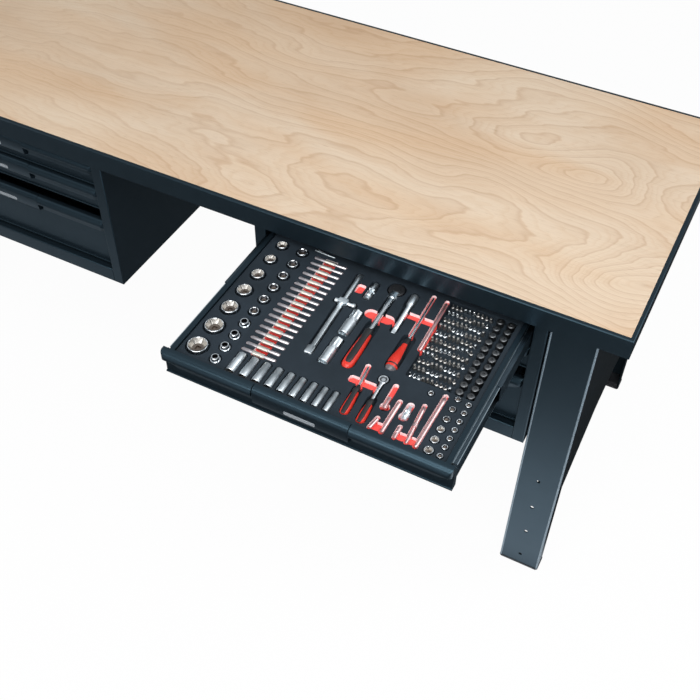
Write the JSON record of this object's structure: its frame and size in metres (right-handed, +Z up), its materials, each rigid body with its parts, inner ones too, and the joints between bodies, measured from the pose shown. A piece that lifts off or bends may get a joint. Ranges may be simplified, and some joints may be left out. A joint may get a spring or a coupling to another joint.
{
  "type": "workbench with hanging drawer cabinets",
  "caption": "Steel workbench with a wooden top in a steel edge and hanging cabinets of drawers on telescopic slides, shown with a drawer pulled out over its foam tool inlay.",
  "frame": {"origin": "on the floor, under the middle of the box round the whole model with its right top drawer open", "axes": "+X along the worktop to the right as seen from the drawers, +Y from the drawers to the back, +Z up"},
  "size_m": [2, 1.124, 0.87],
  "materials": {
    "birch_board": "clear satin lacquer over plywood with an arched grain",
    "blue_steel": "blue-grey powder coat, half matt",
    "zinc_rail": "bright zinc plated, rolled",
    "bolt_steel": "zinc plated",
    "foot_plastic": "matt moulded",
    "dark_foam": "closed-cell foam, matt",
    "red_foam": "closed-cell foam, matt",
    "chromed_tool": "satin chrome",
    "bit_steel": "satin, slightly darker than the sockets",
    "grip_plastic": "red and black moulded, half gloss"
  },
  "bodies": {
    "bench": {"cross_bars": "blue_steel", "edge_front": "blue_steel", "edge_left": "blue_steel", "edge_rear": "blue_steel", "edge_right": "blue_steel", "foot_caps": "foot_plastic", "frame_bolts": "bolt_steel", "left_case_back": "blue_steel", "left_case_base": "blue_steel", "left_case_end_side": "blue_steel", "left_case_knee_side": "blue_steel", "left_case_top": "blue_steel", "left_front_leg": "blue_steel", "left_outer_slides": "zinc_rail", "left_rear_leg": "blue_steel", "left_side_panel": "blue_steel", "rear_rail": "blue_steel", "right_case_back": "blue_steel", "right_case_base": "blue_steel", "right_case_end_side": "blue_steel", "right_case_knee_side": "blue_steel", "right_case_top": "blue_steel", "right_front_leg": "blue_steel", "right_outer_slides": "zinc_rail", "right_rear_leg": "blue_steel", "right_side_panel": "blue_steel", "worktop_board": "birch_board"},
    "right_top_drawer": {"right_top_drawer_box": "blue_steel", "right_top_drawer_front": "blue_steel", "right_top_inner_slides": "zinc_rail", "foam_top_layer": "dark_foam", "foam_red_layer": "red_foam", "standing_sockets": "chromed_tool", "deep_sockets": "chromed_tool", "bit_sockets": "chromed_tool", "screw_bits": "bit_steel", "extension_bars": "chromed_tool", "ratchet_heads": "chromed_tool", "tool_grips": "grip_plastic"},
    "right_top_slides": {"right_top_middle_slides": "zinc_rail"},
    "right_middle_drawer": {"right_middle_drawer_box": "blue_steel", "right_middle_drawer_front": "blue_steel", "right_middle_inner_slides": "zinc_rail"},
    "right_middle_slides": {"right_middle_middle_slides": "zinc_rail"},
    "right_bottom_drawer": {"right_bottom_drawer_box": "blue_steel", "right_bottom_drawer_front": "blue_steel", "right_bottom_inner_slides": "zinc_rail"},
    "right_bottom_slides": {"right_bottom_middle_slides": "zinc_rail"},
    "left_top_drawer": {"left_top_drawer_box": "blue_steel", "left_top_drawer_front": "blue_steel", "left_top_inner_slides": "zinc_rail"},
    "left_top_slides": {"left_top_middle_slides": "zinc_rail"},
    "left_middle_drawer": {"left_middle_drawer_box": "blue_steel", "left_middle_drawer_front": "blue_steel", "left_middle_inner_slides": "zinc_rail"},
    "left_middle_slides": {"left_middle_middle_slides": "zinc_rail"},
    "left_bottom_drawer": {"left_bottom_drawer_box": "blue_steel", "left_bottom_drawer_front": "blue_steel", "left_bottom_inner_slides": "zinc_rail"},
    "left_bottom_slides": {"left_bottom_middle_slides": "zinc_rail"}
  },
  "joints": [
    {"name": "right_top_drawer_slide", "type": "slide", "parent": "bench", "child": "right_top_drawer", "axis": [0, -1, 0], "range_m": [-0.39, 0.01]},
    {"name": "right_top_rail_slide", "type": "slide", "parent": "bench", "child": "right_top_slides", "axis": [0, -1, 0], "range_m": [-0.195, 0.005]},
    {"name": "right_middle_drawer_slide", "type": "slide", "parent": "bench", "child": "right_middle_drawer", "axis": [0, -1, 0], "range_m": [0, 0.4]},
    {"name": "right_middle_rail_slide", "type": "slide", "parent": "bench", "child": "right_middle_slides", "axis": [0, -1, 0], "range_m": [0, 0.2]},
    {"name": "right_bottom_drawer_slide", "type": "slide", "parent": "bench", "child": "right_bottom_drawer", "axis": [0, -1, 0], "range_m": [0, 0.4]},
    {"name": "right_bottom_rail_slide", "type": "slide", "parent": "bench", "child": "right_bottom_slides", "axis": [0, -1, 0], "range_m": [0, 0.2]},
    {"name": "left_top_drawer_slide", "type": "slide", "parent": "bench", "child": "left_top_drawer", "axis": [0, -1, 0], "range_m": [0, 0.4]},
    {"name": "left_top_rail_slide", "type": "slide", "parent": "bench", "child": "left_top_slides", "axis": [0, -1, 0], "range_m": [0, 0.2]},
    {"name": "left_middle_drawer_slide", "type": "slide", "parent": "bench", "child": "left_middle_drawer", "axis": [0, -1, 0], "range_m": [0, 0.4]},
    {"name": "left_middle_rail_slide", "type": "slide", "parent": "bench", "child": "left_middle_slides", "axis": [0, -1, 0], "range_m": [0, 0.2]},
    {"name": "left_bottom_drawer_slide", "type": "slide", "parent": "bench", "child": "left_bottom_drawer", "axis": [0, -1, 0], "range_m": [0, 0.4]},
    {"name": "left_bottom_rail_slide", "type": "slide", "parent": "bench", "child": "left_bottom_slides", "axis": [0, -1, 0], "range_m": [0, 0.2]}
  ],
  "couplings": [
    {"joint": "right_top_rail_slide", "follows": "right_top_drawer_slide", "ratio": 0.5},
    {"joint": "right_middle_rail_slide", "follows": "right_middle_drawer_slide", "ratio": 0.5},
    {"joint": "right_bottom_rail_slide", "follows": "right_bottom_drawer_slide", "ratio": 0.5},
    {"joint": "left_top_rail_slide", "follows": "left_top_drawer_slide", "ratio": 0.5},
    {"joint": "left_middle_rail_slide", "follows": "left_middle_drawer_slide", "ratio": 0.5},
    {"joint": "left_bottom_rail_slide", "follows": "left_bottom_drawer_slide", "ratio": 0.5}
  ]
}
